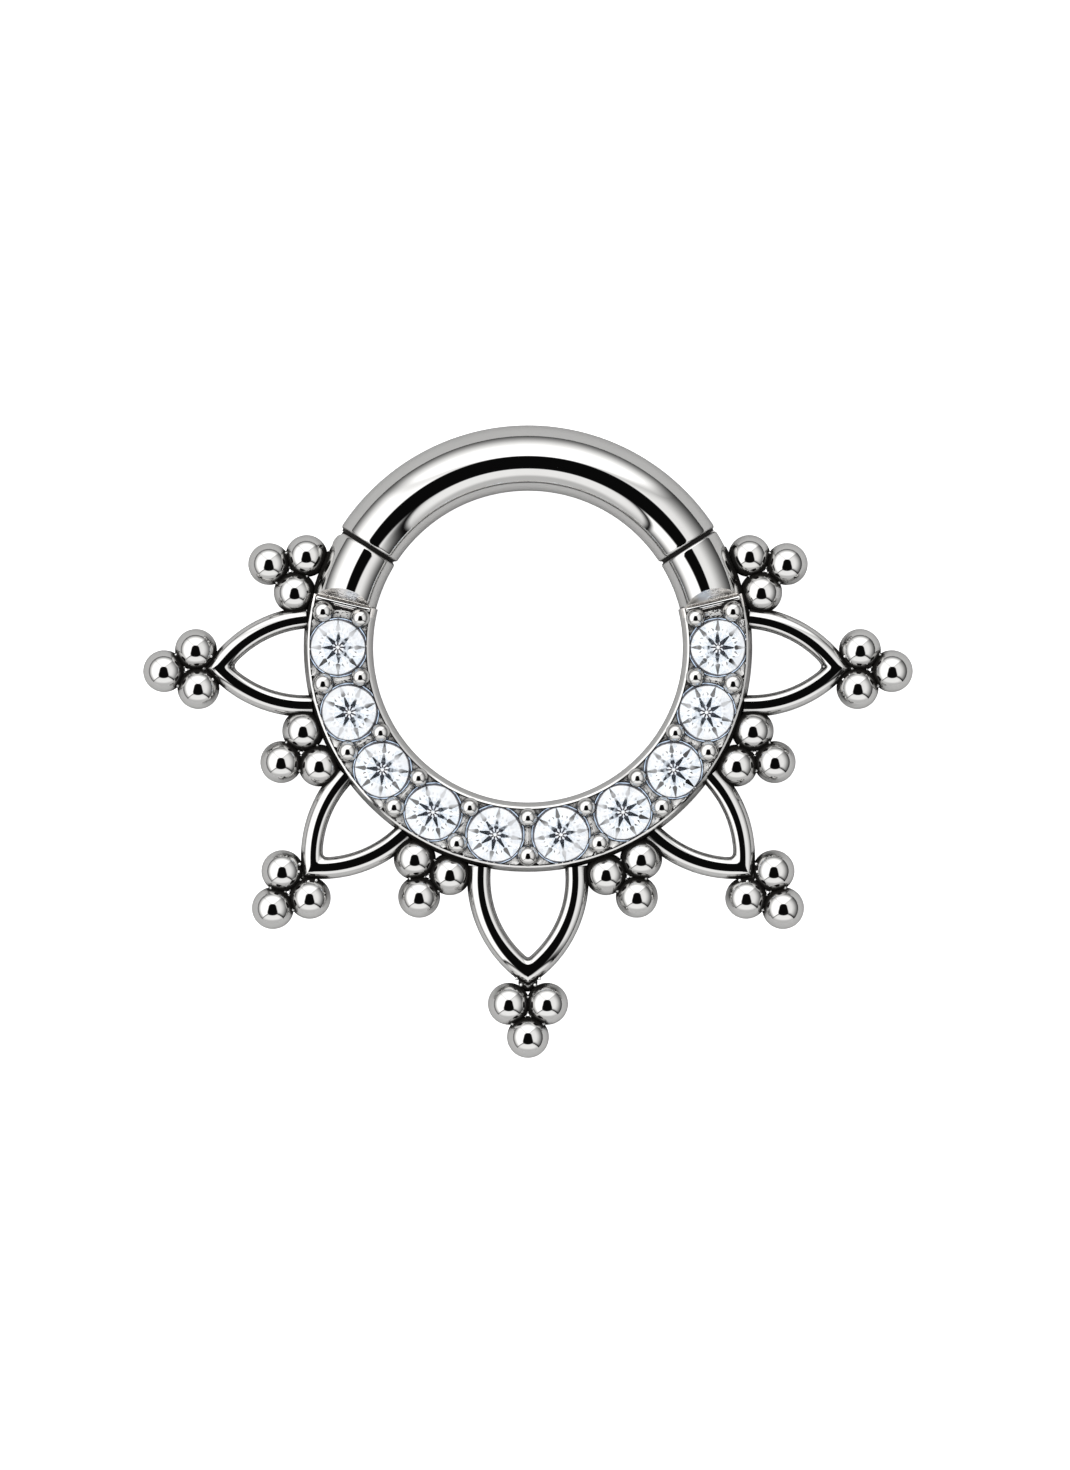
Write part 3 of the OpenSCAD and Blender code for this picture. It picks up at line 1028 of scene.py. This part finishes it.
def petal_wire(s, petal):
    """A pointed arch of wire, pointing out along +X."""
    rise = petal.tip - petal.spring
    middle_y = (rise ** 2 - petal.half_w ** 2) / (2 * petal.half_w)
    bend_r = petal.half_w + middle_y
    spring_r = s.band_edge_r + petal.spring
    foot_sink = 0.14
    foot_turn = math.asin((petal.spring + foot_sink) / bend_r)
    tip_turn = math.acos(middle_y / (bend_r + petal.wire))
    start = math.pi / 2 + foot_turn
    centre = Vector((spring_r, -middle_y, s.mid_z))
    leg = primitive("circle", "petal", vertices=16, radius=1, fill_type="NOTHING")
    with editing(leg):
        move_points(leg, wire_section)
        bpy.ops.mesh.select_all(action="SELECT")
        bpy.ops.transform.resize(value=(petal.wire / 2,) * 3)
    leg.rotation_euler = (math.pi / 2, 0, start)
    leg.location = centre + Vector((math.cos(start), math.sin(start), 0)) * bend_r
    settle(leg)
    with editing(leg):
        bpy.ops.mesh.spin(steps=10, angle=foot_turn + tip_turn, center=centre, axis=(0, 0, 1))
        bpy.ops.mesh.select_all(action="SELECT")
        bpy.ops.mesh.bisect(plane_co=(0, 0, 0), plane_no=(0, -1, 0), clear_outer=True,
                            threshold=1e-5)
    use_modifier(leg, "MIRROR", use_axis=(False, True, False), merge_threshold=1e-3)
    with editing(leg, "EDGE"):
        tip = s.band_edge_r + petal.tip
        select(leg, edges=lambda p: abs(p.y) < 1e-3 and p.x > tip)
        bpy.ops.transform.edge_crease(value=1)
    use_modifier(leg, "SUBSURF", levels=2, render_levels=2)
    with editing(leg):
        bpy.ops.mesh.fill_holes(sides=0)
    close_up(leg)
    solder_on(leg, (tip + 0.24, 0, s.mid_z - 0.05), 0.25, segments=32, rings=16)
    return leg, tip


def wire_section(point):
    """Flattens a round section on top and shifts its crest inwards, to -X."""
    across = math.copysign(abs(point.x) ** 0.8, point.x)
    up = math.copysign(abs(point.y) ** 0.8, point.y) * 1.3
    return Vector((across - 0.2 * (1 - across * across), up, 0))


class HOOP_OT_petals(PieceOperator):
    """Models the wire petals"""

    bl_idname = "hoop.petals"
    bl_label = "Petals"

    def execute(self, context):
        s = sizes()
        for petal in PETALS:
            wire, tip = petal_wire(s, petal)
            # Grains of solder on both sides of the tip: how far out, along and up from it
            grains = [Vector((tip + out, side * along, s.mid_z + up)) for out, along, up in (
                (0.14, 0.3, 0.3), (0.3, 0.18, 0.32)) for side in (1, -1)]
            for spot in grains:
                solder_on(wire, spot, 0.045)
            give_finish(wire, "mirror_steel", [("solder_steel", near(grains, 0.047))])
            angle = math.radians(petal.angle)
            for side, sign in both_sides(angle):
                piece = copy_of(wire, f"petal_{petal.name}_{side}",
                                turn=sign * angle - math.pi / 2)
                hand_over(piece, smooth=50)
            bpy.data.objects.remove(wire)
        return {"FINISHED"}


class HOOP_OT_finishes(PieceOperator):
    """Mixes the finishes and gives the carried-over stones and pin theirs"""

    bl_idname = "hoop.finishes"
    bl_label = "Finishes"

    def execute(self, context):
        # Each steel gets painted shade where little open sky reaches, in its own range; the steel
        # of the collar in the seam is painted shadow all over, and the seats' steel has a painted
        # glow
        polished = steel("mirror_steel")
        steel("tube_steel", drawn=True)
        steel("bright_cut_steel", shade_range=(0.48, 0.9), polish=1.4, cuts=0.03)
        steel("prong_steel", shade_range=(0.45, 0.85), polish=1.4)
        steel("filed_steel", shade_range=(-0.5, 0.2), polish=10, cuts=0.011, glint=(0.84, 0.81, 0.78))
        steel("solder_steel", shade_range=(-2, -1), polish=3, glint=(0.8, 0.8, 0.79))
        steel("seam_shade_steel", shade_range=(0.82, 1.0))
        steel("painted_shadow_steel", shade_range=(2, 3))
        steel("seat_glow_steel", shade_range=(-2, -1), polish=4, glint=(0.8, 0.86, 0.93), painted_glow=0.5)
        stone = clear_stone()
        for name in STONES:
            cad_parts[name].data.materials.clear()
            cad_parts[name].data.materials.append(stone)
        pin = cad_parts["hinge_pin"]
        pin.data.materials.clear()
        pin.data.materials.append(polished)
        return {"FINISHED"}


class HOOP_OT_stage(PieceOperator):
    """Sets up the light table, the softboxes and the camera"""

    bl_idname = "hoop.stage"
    bl_label = "Stage"

    def execute(self, context):
        studio = context.scene.hoop_studio
        table = primitive("circle", "light_table", vertices=64, radius=studio.table_size / 2,
                          fill_type="NGON")
        material, shader = new_material("light_table")
        seen = shader.node("LightPath", output=0)
        surface = shader.node("BsdfPrincipled", None, {
            "Base Color": (0.74, 0.74, 0.74, 1), "Roughness": 0.9, "Specular IOR Level": 0.0,
            "Emission Color": (1, 1, 1, 1), "Emission Strength": seen * 0.96})
        shader.surface(surface)
        table.data.materials.append(material)
        self.light(context, studio)
        self.camera(context, studio)
        return {"FINISHED"}

    def light(self, context, studio):
        """Softboxes, laid out as a polished ball under the camera shows them."""
        world = bpy.data.worlds.new("studio")
        context.scene.world = world
        world.use_nodes = True
        shader = Shader(world.node_tree)
        direction = shader.node("TexCoord", output=0)
        half_way = shader.node("VectorMath", {"operation": "ADD"}, {
            0: direction, 1: (0, 0, 1)})
        ball = shader.node("VectorMath", {"operation": "NORMALIZE"}, {0: half_way})
        u, v, _ = shader.parts(ball)
        r = shader.root(u * u + v * v)
        sides = u.over(-0.2, 0.25, 0.98, 0.68) * r.over(
            u.over(-0.2, 0.25, 0.5, 0.36), 0.73, 1.0, 0.03)
        top = r.over(0.48, 0.73, 1.08, 0.03) * (v - abs(u) * 0.8).over(0.05, 0.2)
        joints = abs(v - 0.14 - abs(u - 0.01) * 0.85).over(0.0, 0.07, 0.75, 1.0)
        joints = shader.largest(joints, v.over(0.15, 0.25, 1.0, 0.0))
        arch = v + 0.22 + (u - 0.01) * (u - 0.01) * 1.05
        ellipse = shader.root(u * u * 4.5 + (v + 0.43) * (v + 0.43) * 44.0)
        lower = ellipse.over(0.6, 1.15, 0.7, 0.4)
        above = shader.largest(sides, top) * joints * (arch / u.over(0.1, 0.4, 0.035, 0.16)).over(
            0.0, 1.0)
        light = above + arch.over(-0.045, 0.005, 1.0, 0.0) * (lower - above)
        # The dark opening in the middle, through which the camera looks
        across = u / v.over(-0.3, 0.1, 0.27, 0.195)
        down = (v + 0.065) / 0.28
        hole = shader.root(across * across + down * down * down * down).over(0.87, 1.08)
        light = light * hole
        softboxes = shader.node("Background", None, {
            "Color": (1, 1, 1, 1), "Strength": light * studio.softbox + 0.005})
        glow = light.over(0.0, 0.12)
        sky = shader.blend(glow, (0.78, 0.83, 0.89, 1), (1, 1, 1, 1))
        core = r.over(0.05, 0.085, 0.0, 1.35)
        through = shader.node("Background", None, {"Color": sky, "Strength": core})
        pale = shader.node("Background", None, {"Color": (1, 1, 1, 1), "Strength": 0.97})
        seen = shader.node("LightPath", output=0)
        passed = Wire(shader, seen.socket.node.outputs["Is Transmission Ray"])
        metal_or_stone = shader.node("MixShader", None, {0: passed, 1: softboxes, 2: through})
        shader.surface(shader.node("MixShader", None, {0: seen, 1: metal_or_stone, 2: pale}))

    def camera(self, context, studio):
        """A long lens, straight above the table."""
        camera = bpy.data.cameras.new("camera")
        camera.sensor_width = 36
        camera.lens = camera.sensor_width * studio.camera_height / studio.frame_height
        camera.clip_start = 0.01
        eye = bpy.data.objects.new("camera", camera)
        eye.location = (0.182 * MM, -2.26 * MM, studio.camera_height)
        context.scene.collection.objects.link(eye)
        context.scene.camera = eye
        context.scene.view_settings.view_transform = "Standard"


PIECES = (HOOP_OT_finishes, HOOP_OT_bar, HOOP_OT_sleeves, HOOP_OT_setting, HOOP_OT_prongs,
          HOOP_OT_beads, HOOP_OT_petals, HOOP_OT_stage)


class HOOP_PT_panel(bpy.types.Panel):
    """Lists the hoop's pieces and settings"""

    bl_idname = "HOOP_PT_panel"
    bl_label = "Clicker hoop"
    bl_space_type = "VIEW_3D"
    bl_region_type = "UI"
    bl_category = "Hoop"

    def draw(self, context):
        for operator in PIECES:
            self.layout.operator(operator.bl_idname)
        for group in ("hoop_sizes", "hoop_finish", "hoop_studio"):
            settings = getattr(context.scene, group)
            column = self.layout.column(align=True)
            for key in settings.bl_rna.properties.keys():
                if key not in ("name", "rna_type"):
                    column.prop(settings, key)


CLASSES = (HoopSizes, HoopFinish, StudioSettings, *PIECES, HOOP_PT_panel)


def register():
    for cls in CLASSES:
        bpy.utils.register_class(cls)
    bpy.types.Scene.hoop_sizes = PointerProperty(type=HoopSizes)
    bpy.types.Scene.hoop_finish = PointerProperty(type=HoopFinish)
    bpy.types.Scene.hoop_studio = PointerProperty(type=StudioSettings)


def unregister():
    for name in ("hoop_sizes", "hoop_finish", "hoop_studio"):
        delattr(bpy.types.Scene, name)
    for cls in reversed(CLASSES):
        bpy.utils.unregister_class(cls)


def main():
    """Makes the pieces and the stage."""
    register()
    for operator in PIECES:
        group, name = operator.bl_idname.split(".")
        getattr(getattr(bpy.ops, group), name)()


if __name__ == "__main__":
    main()
